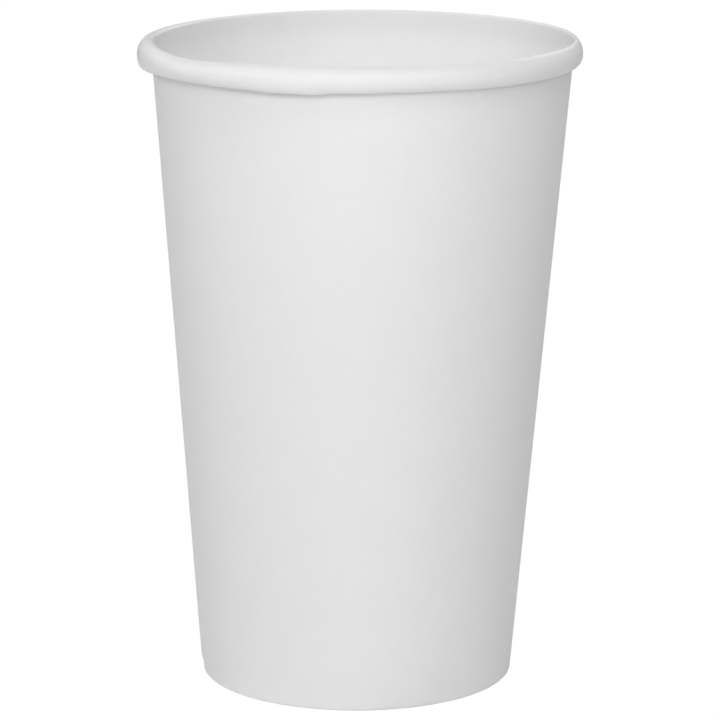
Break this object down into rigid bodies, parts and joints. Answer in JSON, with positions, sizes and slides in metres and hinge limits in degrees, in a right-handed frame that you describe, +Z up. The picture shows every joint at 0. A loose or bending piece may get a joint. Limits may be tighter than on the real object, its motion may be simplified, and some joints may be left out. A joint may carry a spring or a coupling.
{
  "type": "paper coffee cup",
  "caption": "Tall single-walled paper coffee cup: tapered board wall with a lapped side seam, rolled brim, and a recessed bottom disc.",
  "frame": {"origin": "centre of the foot ring, on the surface that the cup stands on", "axes": "+Z up along the cup's axis, out of its mouth; -X towards the lapped side seam"},
  "size_m": [0.09, 0.09, 0.1317],
  "materials": {
    "wall_board": "matte uncoated white board outside, satin sealed film inside and over the brim",
    "base_board": "matte white board, satin sealed film on the drinking side"
  },
  "bodies": {
    "root": {"side_wall": "wall_board", "bottom_disc": "base_board"}
  },
  "joints": []
}
